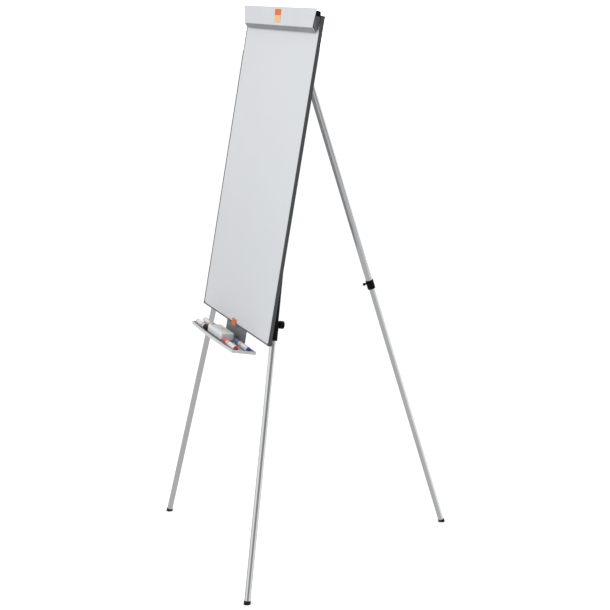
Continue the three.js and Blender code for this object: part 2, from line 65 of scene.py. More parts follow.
MM = 0.001
SIDES = 64                      # around a turned piece
SHARP = radians(34)             # edges folded by more than this are shaded sharp
MERGE = 2e-6                    # vertices closer than this are one
FLAT = radians(0.5)             # faces folded by less than this become one
GAP = 0.3                       # clearance between fitted parts
NODES = frame["nodes"]
JOINTS = {joint["name"]: joint for joint in frame["joints"]}
LEFT_RIGHT = (("left", -1), ("right", 1))
LEGS = ("left", "right", "rear")


# ---- Frames ------------------------------------------------------------------------------

def placed(x, y, z, origin):
    """A matrix from three axes and an origin in the row frame."""
    matrix = Matrix((x, y, z)).transposed().to_4x4()
    matrix.translation = Vector(origin)
    return matrix


def axis_of(joint):
    """Unit direction of a joint's axis."""
    return Vector(JOINTS[joint]["axis"]).normalized()


def node_points(node, place):
    """A CAD node's vertices in a local frame, in millimetres."""
    inverse = place.inverted()
    return [inverse @ vertex.co / MM for vertex in NODES[node].data.vertices]


def local_box(node, place):
    """Lowest and highest corner of a CAD node in a local frame, in millimetres."""
    points = node_points(node, place)
    low = Vector([min(point[i] for point in points) for i in range(3)])
    high = Vector([max(point[i] for point in points) for i in range(3)])
    return low, high


def board_frame():
    """Origin at the middle of the board's bottom edge, on its writing face."""
    across, back, up = Vector((1, 0, 0)), axis_of("leg_right_swing"), axis_of("marker_black_lift")
    rough = placed(across, back, up, (0, 0, 0))
    bottom = local_box("trim_bottom", rough)[0].z
    face = local_box("writing_surface", rough)[0].y
    return placed(across, back, up, (back * face + up * bottom) * MM)


def leg_frame(name):
    """Origin at the leg's pivot, z up the leg."""
    up = axis_of(f"leg_{name}_telescope")
    if name == "rear":
        across = Vector((1, 0, 0))
        return placed(across, up.cross(across), up, JOINTS["leg_rear_fold"]["pos_m"])
    back = axis_of("leg_right_swing")
    return placed(back.cross(up), back, up, JOINTS[f"leg_{name}_swing"]["pos_m"])


BOARD = board_frame()
LEG = {name: leg_frame(name) for name in LEGS}


# ---- Mesh building: each part is (vertices, faces), in millimetres -----------------------

def joined_rings(rings):
    """Faces between neighbouring rings of vertex numbers; a ring of one is a pole."""
    faces = []
    for lower, upper in rings:
        count = max(len(lower), len(upper))
        for k in range(count):
            corners = [
                lower[k % len(lower)], lower[(k + 1) % len(lower)],
                upper[(k + 1) % len(upper)], upper[k % len(upper)],
            ]
            faces.append(list(dict.fromkeys(corners)))
    return faces


def turned(profile, sides=SIDES, flutes=0):
    """A solid of revolution about z from (radius, height) or (radius, height, flute depth).

    A profile that starts on the axis also ends on it; any other closes on itself as a tube."""
    vertices, rings = [], []
    for radius, height, *depth in profile:
        count = sides if radius else 1
        rings.append([len(vertices) + k for k in range(count)])
        for k in range(count):
            angle = 2 * pi * k / sides
            r = radius * (1 - (depth[0] if depth else 0) * (1 - cos(flutes * angle)) / 2)
            vertices.append(Vector((r * cos(angle), r * sin(angle), height)))
    pairs = list(zip(rings, rings[1:]))
    if profile[0][0]:
        pairs.append((rings[-1], rings[0]))
    return vertices, joined_rings(pairs)


def lofted(outlines):
    """A closed solid through a stack of outlines with equal numbers of points."""
    vertices = [Vector(point) for outline in outlines for point in outline]
    count = len(outlines[0])
    rings = [list(range(i * count, (i + 1) * count)) for i in range(len(outlines))]
    faces = joined_rings(zip(rings, rings[1:]))
    return vertices, faces + [rings[0][::-1], rings[-1]]


def rounded(width, depth, radius, steps=6, centre=(0, 0)):
    """Points of a rectangle with round corners."""
    points = []
    for corner, (sx, sy) in enumerate(((1, 1), (-1, 1), (-1, -1), (1, -1))):
        for k in range(steps + 1):
            angle = pi / 2 * (corner + k / steps)
            x = centre[0] + sx * (width / 2 - radius) + radius * cos(angle)
            y = centre[1] + sy * (depth / 2 - radius) + radius * sin(angle)
            points.append((x, y))
    return points


def moved(part, matrix):
    """A part carried by a matrix."""
    vertices, faces = part
    return [matrix @ vertex for vertex in vertices], faces


def turn(axis, degrees):
    """A rotation about one of the local axes."""
    return Matrix.Rotation(radians(degrees), 4, axis)


TO_X = turn("Y", 90)            # z becomes +x
TO_MINUS_X = turn("Y", -90)
TO_Y = turn("X", -90)           # z becomes +y
TO_MINUS_Y = turn("X", 90)
TO_MINUS_Z = turn("X", 180)


def shift(x, y, z):
    """A translation."""
    return Matrix.Translation((x, y, z))


def soften(bm, width):
    """Rounds every folded edge by a small width, in metres."""
    edges = [e for e in bm.edges if len(e.link_faces) == 2 and e.calc_face_angle() > SHARP]
    bmesh.ops.bevel(
        bm, geom=edges, offset=width, segments=3, profile=0.5, affect="EDGES", clamp_overlap=True
    )


def in_scene(name, data):
    """A new object in the scene around a mesh, a light or a camera."""
    thing = bpy.data.objects.new(name, data)
    bpy.context.scene.collection.objects.link(thing)
    return thing


def shade(piece):
    """Smooth shading that breaks at folded edges."""
    piece.data.set_sharp_from_angle(angle=SHARP)
    weighted = piece.modifiers.new("even_shading", "WEIGHTED_NORMAL")
    weighted.keep_sharp = True


def finished(name, bm, body, material, place, replaces):
    """Turns a bmesh in a local frame, in metres, into a piece that rides on a body."""
    mesh = bpy.data.meshes.new(name)
    bm.to_mesh(mesh)
    bm.free()
    mesh.materials.append(material)
    mesh.shade_smooth()
    piece = in_scene(name, mesh)
    piece.matrix_world = place
    shade(piece)
    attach(piece, body)
    if replaces:
        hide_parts(*replaces)
    return piece


def build(name, body, material, parts, place=BOARD, replaces=(), soft=0.0, cut=None):
    """A piece from closed parts in millimetres, with its folded edges softened.

    cut is a plane (point, normal) in the local frame; what lies behind it is removed."""
    bm = bmesh.new()
    for vertices, faces in parts:
        made = [bm.verts.new(vertex) for vertex in vertices]
        for face in faces:
            bm.faces.new([made[i] for i in face])
    bmesh.ops.recalc_face_normals(bm, faces=bm.faces)
    if cut:
        geometry = bm.verts[:] + bm.edges[:] + bm.faces[:]
        sliced = bmesh.ops.bisect_plane(
            bm, geom=geometry, plane_co=cut[0], plane_no=cut[1], clear_inner=True
        )
        rim = [e for e in sliced["geom_cut"] if isinstance(e, bmesh.types.BMEdge)]
        bmesh.ops.contextual_create(bm, geom=rim)
    bmesh.ops.scale(bm, vec=(MM, MM, MM), verts=bm.verts)
    if soft:
        soften(bm, soft * MM)
    return finished(name, bm, body, material, place, replaces)


def bored(piece, aim, radius, reach):
    """Cuts a round hole through a piece; aim turns z to the hole's axis in the piece's frame."""
    profile = [(0, -reach), (radius, -reach), (radius, reach), (0, reach)]
    vertices, faces = turned(profile, sides=48)
    drill_mesh = bpy.data.meshes.new("drill")
    drill_mesh.from_pydata([aim @ vertex * MM for vertex in vertices], [], faces)
    drill = in_scene("drill", drill_mesh)
    drill.matrix_world = piece.matrix_world
    cutter = piece.modifiers.new("bore", "BOOLEAN")
    cutter.operation = "DIFFERENCE"
    cutter.solver = "EXACT"
    cutter.object = drill
    bpy.context.view_layer.update()
    evaluated = piece.evaluated_get(bpy.context.evaluated_depsgraph_get())
    holed = bpy.data.meshes.new_from_object(evaluated)
    piece.modifiers.clear()
    piece.data = holed
    bpy.data.objects.remove(drill)
    shade(piece)


def refined(node, material, soft):
    """A CAD node's own shape with softened edges, standing for that node."""
    source = NODES[node]
    bm = bmesh.new()
    bm.from_mesh(source.data)
    bmesh.ops.transform(bm, matrix=BOARD.inverted(), verts=bm.verts)
    bmesh.ops.remove_doubles(bm, verts=bm.verts, dist=MERGE)
    bmesh.ops.dissolve_limit(bm, angle_limit=FLAT, verts=bm.verts, edges=bm.edges)
    soften(bm, soft * MM)
    body = source["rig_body"]
    return finished(f"{node}_finished", bm, body, material, BOARD, [node])


# ---- Materials ---------------------------------------------------------------------------

def srgb(red, green, blue):
    """A colour of 0 to 255 display values, as linear light."""
    def linear(value):
        """One channel, by the sRGB curve."""
        share = value / 255
        return share / 12.92 if share <= 0.04045 else ((share + 0.055) / 1.055) ** 2.4
    return tuple(linear(value) for value in (red, green, blue))


FIELD_LOW, FIELD_HIGH = 0.3, 0.7    # what noise mostly lies between
COAT_ROUGHNESS = 0.12


class Surface:
    """A procedural material: a Principled shader fed by noise in the object's own space."""

    def __init__(self, name, metallic=0.0, coat=0.0, specular=0.5, sheen=0.0):
        self.material = bpy.data.materials.new(name)
        self.material.use_nodes = True
        self.tree = self.material.node_tree
        self.shader = self.tree.nodes["Principled BSDF"]
        self.shader.inputs["Metallic"].default_value = metallic
        self.shader.inputs["Coat Weight"].default_value = coat
        self.shader.inputs["Coat Roughness"].default_value = COAT_ROUGHNESS
        self.shader.inputs["Specular IOR Level"].default_value = specular
        self.shader.inputs["Sheen Weight"].default_value = sheen
        self.space = self.tree.nodes.new("ShaderNodeTexCoord")

    def link(self, output, target):
        """Joins two sockets."""
        self.tree.links.new(output, target)

    def noise(self, scale, detail=4.0, stretch=(1, 1, 1), distortion=0.0):
        """A noise field; stretch above 1 packs it more closely along that axis."""
        mapping = self.tree.nodes.new("ShaderNodeMapping")
        mapping.inputs["Scale"].default_value = stretch
        self.link(self.space.outputs["Object"], mapping.inputs["Vector"])
        field = self.tree.nodes.new("ShaderNodeTexNoise")
        field.inputs["Scale"].default_value = scale
        field.inputs["Detail"].default_value = detail
        field.inputs["Distortion"].default_value = distortion
        self.link(mapping.outputs["Vector"], field.inputs["Vector"])
        return field.outputs["Fac"]

    def cells(self, scale):
        """A field of small cells, for spangle and moulded grain."""
        field = self.tree.nodes.new("ShaderNodeTexVoronoi")
        field.inputs["Scale"].default_value = scale
        self.link(self.space.outputs["Object"], field.inputs["Vector"])
        return field.outputs["Distance"]

    def colour(self, field, stops):
        """Base colour from a field, between two (position, colour) stops."""
        node = self.tree.nodes.new("ShaderNodeValToRGB")
        for element, (position, colour) in zip(node.color_ramp.elements, stops):
            element.position = position
            element.color = (*colour, 1.0)
        self.link(field, node.inputs["Fac"])
        self.link(node.outputs["Color"], self.shader.inputs["Base Color"])

    def tinted(self, field, colour, spread):
        """Base colour that wanders a little either side of one colour."""
        darker = tuple(c * (1 - spread) for c in colour)
        lighter = tuple(min(1.0, c * (1 + spread)) for c in colour)
        self.colour(field, [(FIELD_LOW, darker), (FIELD_HIGH, lighter)])

    def roughness(self, field, low, high):
        """Roughness that follows a field between two values."""
        spread = self.tree.nodes.new("ShaderNodeMapRange")
        spread.inputs["From Min"].default_value = FIELD_LOW
        spread.inputs["From Max"].default_value = FIELD_HIGH
        spread.inputs["To Min"].default_value = low
        spread.inputs["To Max"].default_value = high
        self.link(field, spread.inputs["Value"])
        self.link(spread.outputs["Result"], self.shader.inputs["Roughness"])

    def bump(self, field, strength, depth=0.1):
        """Surface relief; depth in millimetres. A second call lies on top of the first."""
        bump = self.tree.nodes.new("ShaderNodeBump")
        bump.inputs["Strength"].default_value = strength
        bump.inputs["Distance"].default_value = depth * MM
        self.link(field, bump.inputs["Height"])
        target = self.shader.inputs["Normal"]
        if target.is_linked:
            self.link(target.links[0].from_socket, bump.inputs["Normal"])
        self.link(bump.outputs["Normal"], target)

    def glow(self, strength):
        """White light from the surface itself."""
        self.shader.inputs["Emission Color"].default_value = (1, 1, 1, 1)
        self.shader.inputs["Emission Strength"].default_value = strength


def enamel(name, colour):
    """Smooth white writing surface: a faint ripple, and wiping marks in its gloss."""
    s = Surface(name, coat=0.15, specular=0.4)
    s.tinted(s.noise(2.2, 2), colour, 0.008)
    s.roughness(s.noise(6, 5, (1, 1, 9), 0.6), 0.29, 0.34)
    s.bump(s.noise(160, 2), 0.05, 0.05)
    return s.material


def powder_coat(name, colour, low=0.38, high=0.5, relief=0.22, specular=0.45):
    """Baked paint with a fine even texture."""
    s = Surface(name, specular=specular)
    s.tinted(s.noise(9, 3), colour, 0.015)
    s.roughness(s.noise(90, 3), low, high)
    s.bump(s.noise(1100, 2), relief, 0.05)
    s.bump(s.noise(220, 2), relief * 0.4, 0.08)
    return s.material


def moulded(name, colour, low=0.38, high=0.52, spread=0.05, specular=0.4):
    """Moulded plastic with a fine spark-eroded grain and slight flow marks."""
    s = Surface(name, specular=specular)
    s.tinted(s.noise(25, 4, (1, 1, 2.5), 0.4), colour, spread)
    s.roughness(s.noise(60, 4), low, high)
    s.bump(s.cells(1500), 0.18, 0.06)
    s.bump(s.noise(12, 2), 0.04, 0.3)
    return s.material


def gloss_plastic(name, colour, coat=0.25, specular=0.45, rough=0.2):
    """Shiny moulded plastic of a pen."""
    s = Surface(name, coat=coat, specular=specular)
    s.tinted(s.noise(12, 3), colour, 0.015)
    s.roughness(s.noise(30, 2), rough, rough + 0.05)
    s.bump(s.noise(900, 2), 0.04, 0.02)
    return s.material


def drawn_aluminium(name, colour, low, high):
    """Anodised tube with fine die lines along it."""
    s = Surface(name, metallic=1.0)
    lines = s.noise(900, 3, (1, 1, 0.006))
    s.tinted(s.noise(8, 3, (1, 1, 0.4)), colour, 0.03)
    s.roughness(lines, low, high)
    s.bump(lines, 0.06, 0.02)
    s.bump(s.noise(240, 3), 0.03, 0.03)
    return s.material


def zinc_plate(name):
    """Zinc-plated steel with a pale spangle."""
    s = Surface(name, metallic=1.0)
    s.tinted(s.cells(420), srgb(176, 178, 176), 0.12)
    s.roughness(s.noise(150, 4), 0.26, 0.44)
    s.bump(s.noise(700, 2), 0.08, 0.03)
    return s.material


def rubber(name):
    """Black moulded rubber with a dusty bloom."""
    s = Surface(name, specular=0.25)
    dark, dusty = srgb(20, 20, 21), srgb(44, 43, 42)
    s.colour(s.noise(55, 6, distortion=0.5), [(0.35, dark), (0.8, dusty)])
    s.roughness(s.noise(80, 4), 0.7, 0.9)
    s.bump(s.noise(900, 3), 0.3, 0.08)
    return s.material


def fibreboard(name):
    """Pressed wood fibre."""
    s = Surface(name, specular=0.2)
    pale, dark = srgb(176, 150, 116), srgb(122, 98, 70)
    s.colour(s.noise(300, 8, (1, 2.5, 1), 1.2), [(0.3, dark), (0.7, pale)])
    s.roughness(s.noise(80, 3), 0.8, 0.95)
    s.bump(s.noise(450, 6), 0.5, 0.15)
    return s.material


def felt(name):
    """Matted wool fibres."""
    s = Surface(name, specular=0.15, sheen=0.4)
    dark, pale = srgb(56, 58, 62), srgb(112, 114, 118)
    s.colour(s.noise(700, 8, (1, 1, 2), 1.5), [(0.3, dark), (0.75, pale)])
    s.roughness(s.noise(200, 3), 0.9, 1.0)
    s.bump(s.noise(900, 8, distortion=1.0), 0.8, 0.3)
    return s.material


def printed(name, colour):
    """Printed vinyl under a thin gloss film."""
    s = Surface(name, coat=0.04, specular=0.2)
    s.tinted(s.noise(45, 4), colour, 0.05)
    s.roughness(s.noise(90, 3), 0.38, 0.5)
    s.bump(s.noise(700, 2), 0.06, 0.03)
    return s.material


def make_materials():
    """Every look by the short name that the pieces use."""
    return {
        "enamel": enamel("white_enamel", srgb(195, 198, 202)),
        "white_paint": powder_coat("white_powder_coat", srgb(193, 196, 199), 0.34, 0.44, 0.14),
        "black_paint": powder_coat("black_powder_coat", srgb(15, 16, 17), specular=0.15),
        "bracket_paint": powder_coat("grey_bracket_paint", srgb(112, 114, 116)),
        "backing_paint": powder_coat("grey_backing_lacquer", srgb(142, 146, 149), 0.4, 0.55, 0.12),
        "trim": moulded("dark_grey_trim", srgb(68, 71, 73)),
        "pale": moulded("pale_grey_moulding", srgb(191, 194, 196)),
        # Grip strip: grey moulding whose mid grey is partly painted shade, standing for the shadow
        # under the cover's lip
        "grip": moulded("grey_grip_and_painted_shade_moulding", srgb(126, 129, 131), 0.5, 0.6),
        "end": moulded("grey_end_moulding", srgb(78, 82, 85)),
        "black": moulded("black_moulding", srgb(15, 15, 16), spread=0.15, specular=0.1),
        "knob": moulded("black_knob_moulding", srgb(13, 13, 14), 0.32, 0.44, 0.15, 0.12),
        "tube": drawn_aluminium("satin_aluminium", srgb(228, 230, 232), 0.1, 0.15),
        "zinc": zinc_plate("zinc_plate"),
        "rubber": rubber("black_rubber"),
        "fibre": fibreboard("fibreboard"),
        "felt": felt("wiping_felt"),
        "orange": printed("orange_print", srgb(208, 100, 8)),
        "peach": printed("pale_orange_print", srgb(222, 172, 124)),
        "white": gloss_plastic("white_pen_plastic", srgb(214, 215, 216)),
        "ink_black": gloss_plastic("black_pen_plastic", srgb(9, 9, 10), 0.0, 0.08, 0.4),
        "ink_red": gloss_plastic("red_pen_plastic", srgb(180, 40, 60)),
        "ink_blue": gloss_plastic("blue_pen_plastic", srgb(44, 76, 150)),
        "ink_green": gloss_plastic("green_pen_plastic", srgb(24, 96, 60)),
    }


M = make_materials()


# ---- Small hardware ----------------------------------------------------------------------

def screw(name, x, y, z, aim, radius=3.6):
    """Pan-head screw in the board, with a hexagon socket; seat at (x, y, z), head along aim."""
    socket = radius * 0.45
    head = turned([
        (0, -1.2), (radius * 0.6, -1.2), (radius * 0.6, 0), (radius, 0),
        (radius, radius * 0.32), (radius * 0.86, radius * 0.52), (radius * 0.6, radius * 0.62),
        (socket, radius * 0.64, 0.14), (socket * 0.96, radius * 0.2, 0.14), (0, radius * 0.14),
    ], sides=36, flutes=6)
    build(name, "board", M["zinc"], [moved(head, shift(x, y, z) @ aim)])


# ---- Board -------------------------------------------------------------------------------

def dress_board():
    """Looks for the sheets, which keep their CAD shape; trims, corner caps and the badge."""
    for node, look in (
        ("writing_surface", "enamel"), ("board_core", "fibre"), ("backing_sheet", "backing_paint"),
    ):
        NODES[node].data.materials.clear()
        NODES[node].data.materials.append(M[look])
    for side in ("left", "right", "bottom", "top"):
        refined(f"trim_{side}", M["trim"], soft=0.35)
    for height in ("bottom", "top"):
        for side in ("left", "right"):
            refined(f"corner_cap_{height}_{side}", M["trim"], soft=0.8)
    refined("board_badge", M["orange"], soft=0.25)


# ---- Paper clamp -------------------------------------------------------------------------

RAIL_SCREWS = (0.12, 0.5, 0.88)     # along each half of the rail, as shares of it
WEB = 3                             # thickness of an end cap's web
WEB_BACK = -9.3                     # its back edge, in front of the writing face
LABEL_THICKNESS = 0.4


def dress_clamp():
    """Rail, cover and grip strip, with their ends, hinge, label and pad hooks."""
    refined("clamp_rail", M["black_paint"], soft=0.3)
    refined("clamp_cover", M["white_paint"], soft=0.45)
    # The grip strip's grey is partly its own colour and partly painted shade under the cover's lip
    refined("grip_strip", M["grip"], soft=0.3)
    rail_low, rail_high = local_box("clamp_rail", BOARD)
    for side, sign in LEFT_RIGHT:
        refined(f"rail_end_cap_{side}", M["end"], soft=0.5)
        add_end_wing(side, sign)
        refined(f"hinge_block_{side}", M["black"], soft=0.5)
        refined(f"cover_lug_{side}", M["black"], soft=0.4)
        for row, reach in enumerate(RAIL_SCREWS):
            x = sign * rail_high.x * reach
            z = (rail_low.z + rail_high.z) / 2 + 6
            name = f"rail_screw_{side}_{row}"
            screw(name, x, rail_high.y - 1.5, z, TO_MINUS_Y, radius=3.2)
    add_hinge_rod()
    add_label()
    for side in ("left", "right"):
        add_hook(side)


def add_end_wing(side, sign):
    """Web of a rail end cap, running inwards to close the side of the cover's pocket."""
    low, high = local_box(f"rail_end_cap_{side}", BOARD)
    outer, top = max(abs(low.x), abs(high.x)), high.z
    base = [(outer, WEB_BACK), (outer - WEB, WEB_BACK)]
    leaves = []
    for z, inset, front in ((958.5, 7.5, -11.0), (966.5, 18.7, -16.0), (top, 8.0, -18.2)):
        plan = [*base, (outer - inset, front), (outer - inset + WEB, front)]
        leaves.append([(sign * x, y, z) for x, y in plan])
    build(f"rail_end_web_{side}", "board", M["end"], [lofted(leaves)], soft=0.3)


def add_hinge_rod():
    """Hinge rod with bevelled ends, and a boss on the outer face of each hinge block."""
    low, high = local_box("clamp_hinge_rod", BOARD)
    y, z, r = (low.y + high.y) / 2, (low.z + high.z) / 2, (high.z - low.z) / 2
    length = high.x - low.x
    rod = turned([
        (0, 0), (r - 0.5, 0), (r, 0.5), (r, length - 0.5), (r - 0.5, length), (0, length),
    ], 32)
    build("hinge_rod", "board", M["zinc"], [moved(rod, shift(low.x, y, z) @ TO_X)],
          replaces=["clamp_hinge_rod"])
    for side, sign in LEFT_RIGHT:
        block_low, block_high = local_box(f"hinge_block_{side}", BOARD)
        outer = block_high.x if sign > 0 else block_low.x
        boss = turned([
            (0, -0.5), (4.6, -0.5), (4.6, 0.6), (3.9, 1.2), (2.4, 1.2), (2.0, 0.7), (0, 0.7),
        ], 40)
        aim = TO_X if sign > 0 else TO_MINUS_X
        build(f"hinge_boss_{side}", "board", M["black"],
              [moved(boss, shift(outer, y, z) @ aim)])


def add_label():
    """Plain two-tone label on the cover: an orange block over a paler one."""
    cover = JOINTS["clamp_cover_flip"]["child"]
    low, high = local_box("cover_label", BOARD)
    middle, width, height = (low + high) / 2, high.x - low.x, high.z - low.z
    slope = (high.y - low.y - LABEL_THICKNESS) / height
    for name, share, centre, material, replaced in (
        ("label_upper", 0.44, 0.27, "orange", ["cover_label"]),
        ("label_lower", 0.52, -0.23, "peach", []),
    ):
        plan = [(x, z + height * centre) for x, z in rounded(width, height * share, 1.2, 4)]
        leaves = [
            [(middle.x + x, middle.y + depth - z * slope, middle.z + z) for x, z in plan]
            for depth in (0.25, -0.15)
        ]
        build(name, cover, M[material], [lofted(leaves)], replaces=replaced)


def add_hook(side):
    """Pad hook: a slide with a peg and a ribbed thumb button."""
    node = f"pad_hook_{side}"
    low, high = local_box(node, BOARD)
    x, z = (low.x + high.x) / 2, (low.z + high.z) / 2
    foot = lofted([
        [(x + px, y, z + pz) for px, pz in rounded(17.5, 13.6, 2, 4)]
        for y in (high.y - 0.2, high.y - 3.6)
    ])
    peg_z, peg_length = z + 1, -low.y + high.y - 5
    peg = turned([(0, 0), (4, 0), (4, peg_length), (0, peg_length)], 32)
    button = turned([
        (0, 0), (4.6, 0), (5.4, 0.5, 0.05), (5.4, 2.0, 0.05), (4.8, 2.5), (3.0, 2.6),
        (2.6, 2.2), (0, 2.2),
    ], 72, flutes=18)
    parts = [
        foot,
        moved(peg, shift(x, high.y - 3, peg_z) @ TO_MINUS_Y),
        moved(button, shift(x, low.y + 2.7, peg_z) @ TO_MINUS_Y),
    ]
    build(f"{node}_finished", node, M["black"], parts, replaces=[node], soft=0.25)


# ---- Pen tray and what lies in it --------------------------------------------------------

def dress_tray():
    """Tray and its bracket, with the screws through both."""
    refined("pen_tray", M["pale"], soft=0.5)
    refined("tray_bracket", M["bracket_paint"], soft=0.35)
    plate_low, plate_high = local_box("tray_bracket", BOARD)
    for side, sign in LEFT_RIGHT:
        x = sign * plate_high.x * 0.7
        screw(f"tray_screw_{side}", x, plate_low.y + 14, plate_low.z, TO_MINUS_Z)
        for row, z in (("low", 16), ("high", 42)):
            screw(f"bracket_screw_{side}_{row}", x, plate_high.y, z, TO_Y)


def end_centre(points, side):
    """Middle of the flat end of a round piece that lies nearly along x."""
    reach = max(side * point.x for point in points)
    end = [point for point in points if side * point.x > reach - 0.8]
    return Vector([(min(p[i] for p in end) + max(p[i] for p in end)) / 2 for i in range(3)])


def add_marker(colour):
    """Felt marker: a white barrel with a printed sleeve, a coloured tail plug and a ribbed cap."""
    barrel_points = node_points(f"marker_{colour}_barrel", BOARD)
    cap_points = node_points(f"marker_{colour}_cap", BOARD)
    side = 1 if max(p.x for p in cap_points) > max(p.x for p in barrel_points) else -1
    tail = end_centre(barrel_points, -side)
    along = end_centre(cap_points, side) - tail
    length = along.length
    along.normalize()
    mouth = min((point - tail).dot(along) for point in cap_points)
    r = max((point - tail).cross(along).length for point in barrel_points)
    place = BOARD @ shift(*(tail * MM)) @ along.to_track_quat("Z", "Y").to_matrix().to_4x4()
    body = f"marker_{colour}"
    barrel = turned([
        (0, 6), (r - 1.6, 6), (r - 0.5, 9), (r, 9.6), (r, mouth - 6), (r - 0.4, mouth - 5.4),
        (r - 0.4, mouth - 0.2), (5.6, mouth), (4.2, mouth + 28), (1.6, mouth + 31), (0, mouth + 31),
    ])
    build(f"{body}_body", body, M["white"], [barrel], place, [f"{body}_barrel"])
    plug = turned([
        (0, 0), (r - 3.4, 0), (r - 1.9, 0.5), (r - 1.3, 1.8), (r - 1.2, 8.8), (r - 1.8, 9.2),
        (0, 9.2),
    ])
    ink = f"ink_{colour}"
    build(f"{body}_tail_plug", body, M[ink], [plug], place)
    for name, start, end, material in (
        ("band", mouth - 20, mouth - 9, "peach"), ("stripe", mouth - 24, mouth - 21.4, ink),
    ):
        sleeve = turned([(r - 0.3, start), (r + 0.12, start), (r + 0.12, end), (r - 0.3, end)])
        build(f"{body}_{name}", body, M[material], [sleeve], place)
    cap_r = max((point - tail).cross(along).length for point in cap_points)
    add_marker_cap(colour, place, mouth, length, cap_r)


def add_marker_cap(colour, place, mouth, length, r):
    """Cap with long finger ribs, a shoulder and a domed end, hollow from its mouth."""
    ribs = 0.05
    cap = turned([
        (6.0, mouth), (r - 0.5, mouth), (r, mouth + 0.6), (r, mouth + 4),
        (r - 0.1, mouth + 4.6, ribs), (r - 0.1, length - 9, ribs), (r, length - 8.4),
        (r, length - 5), (r - 0.5, length - 3), (r - 2, length - 0.7), (r - 3.4, length),
        (0.01, length), (0.01, length - 4), (6.0, length - 8),
    ], sides=96, flutes=24)
    body = f"marker_{colour}"
    build(f"{body}_cap_finished", body, M[f"ink_{colour}"], [cap], place,
          [f"marker_{colour}_cap"])


def add_eraser():
    """Eraser: a smooth plastic back that falls towards its front, a plain oval mark, and felt."""
    low, high = local_box("eraser_body", BOARD)
    centre = ((low.x + high.x) / 2, (low.y + high.y) / 2)
    width, depth, height = high.x - low.x, high.y - low.y, high.z - low.z

    def level(y, share):
        """Height of a layer at one depth; the upper half slopes down to the front."""
        front = 0.5 - (y - centre[1]) / depth
        return low.z + height * share - 4.0 * front * max(0.0, 2 * share - 1)

    layers = []
    for inset, share in (
        (0.6, 0), (0, 0.03), (0, 0.5), (0.1, 0.78), (0.5, 0.87), (1.6, 0.94), (4, 0.985), (9, 1.0),
    ):
        plan = rounded(width - 2 * inset, depth - 2 * inset, max(7 - inset * 0.4, 2.5), 6, centre)
        layers.append([(x, y, level(y, share)) for x, y in plan])
    build("eraser_back", "eraser", M["white"], [lofted(layers)],
          replaces=["eraser_body"])
    angles = [2 * pi * k / 40 for k in range(40)]
    oval = [(centre[0] + 8 + 17 * cos(a), centre[1] + 4 + 7 * sin(a)) for a in angles]
    mark = [[(x, y, level(y, 1) + rise) for x, y in oval] for rise in (-0.3, 0.1)]
    build("eraser_mark", "eraser", M["peach"], [lofted(mark)])
    add_eraser_felt(centre)


def add_eraser_felt(centre):
    """Felt pad in three layers, the middle one a little smaller."""
    low, high = local_box("eraser_felt", BOARD)
    thickness = (high.z - low.z) / 3
    strips = []
    for layer in range(3):
        base = low.z + layer * thickness
        inset = 0.4 * (layer % 2)
        plan = rounded(high.x - low.x - inset, high.y - low.y - inset, 3.5, 4, centre)
        strips.append(lofted([
            [(x, y, z) for x, y in plan] for z in (base + 0.06, base + thickness - 0.06)
        ]))
    build("eraser_felt_layers", "eraser", M["felt"], strips,
          replaces=["eraser_felt"], soft=0.2)


# ---- Leg brackets ------------------------------------------------------------------------

PLATE = 3                           # thickness of a bracket's plate


def dress_brackets():
    """Folded brackets behind the board, with their screws, pivot bolts and rear pin."""
    refined("leg_cross_bracket", M["black_paint"], soft=0.5)
    refined("rear_hinge_bracket", M["black_paint"], soft=0.5)
    low, high = local_box("leg_cross_bracket", BOARD)
    base_low, base_high = local_box("rear_hinge_bracket", BOARD)
    plate_back = low.y + PLATE
    for side, sign in LEFT_RIGHT:
        for row, (x, drop) in enumerate(((0.93, 8), (0.93, 36), (0.36, 8))):
            name = f"cross_screw_{side}_{row}"
            screw(name, sign * high.x * x, plate_back, high.z - drop, TO_Y)
        for row, rise in enumerate((8, 34)):
            x = sign * (base_high.x - 7)
            screw(f"hinge_screw_{side}_{row}", x, base_low.y + PLATE, base_low.z + rise, TO_Y)
        add_pivot_bolt(side)
    add_rear_pin()


def add_pivot_bolt(side):
    """Shoulder bolt with a domed socket head and a washer behind the tube."""
    node = f"leg_pivot_bolt_{side}"
    low, high = local_box(node, BOARD)
    x, z = (low.x + high.x) / 2, (low.z + high.z) / 2
    top = high.y - low.y
    shank = turned([
        (0, 0), (4, 0), (4, 3.2), (8.6, 3.2), (9, 3.6), (9, 6), (8.6, 6.4), (4, 6.4),
        (4, top - 5), (8.8, top - 5), (8.8, top - 4), (7.6, top - 4), (7.4, top - 2),
        (6.2, top - 0.4), (4.6, top), (3.0, top, 0.13), (2.9, top - 2.4, 0.13), (0, top - 2.6),
    ], 72, flutes=6)
    build(f"{node}_finished", "board", M["zinc"], [moved(shank, shift(x, low.y, z) @ TO_Y)],
          replaces=[node])


def add_rear_pin():
    """Hinge pin with a domed head at each end."""
    low, high = local_box("rear_hinge_pin", BOARD)
    y, z = (low.y + high.y) / 2, (low.z + high.z) / 2
    length = high.x - low.x
    half = [(0, 0), (4.5, 0), (6.4, 0.6), (7, 2), (7, 3.6), (6.6, 4), (4, 4)]
    profile = half + [(r, length - h) for r, h in reversed(half)]
    build("rear_hinge_pin_finished", "board", M["zinc"],
          [moved(turned(profile, 48), shift(low.x, y, z) @ TO_X)], replaces=["rear_hinge_pin"])


# ---- Legs --------------------------------------------------------------------------------

WALL = 1.4                          # of a leg tube
LIP = 0.3                           # its rounded ends
PIVOT_BORE = 4.4                    # radius; the bolts and the pin are 4
BORE_REACH = 20                     # from the tube's axis, past its outside


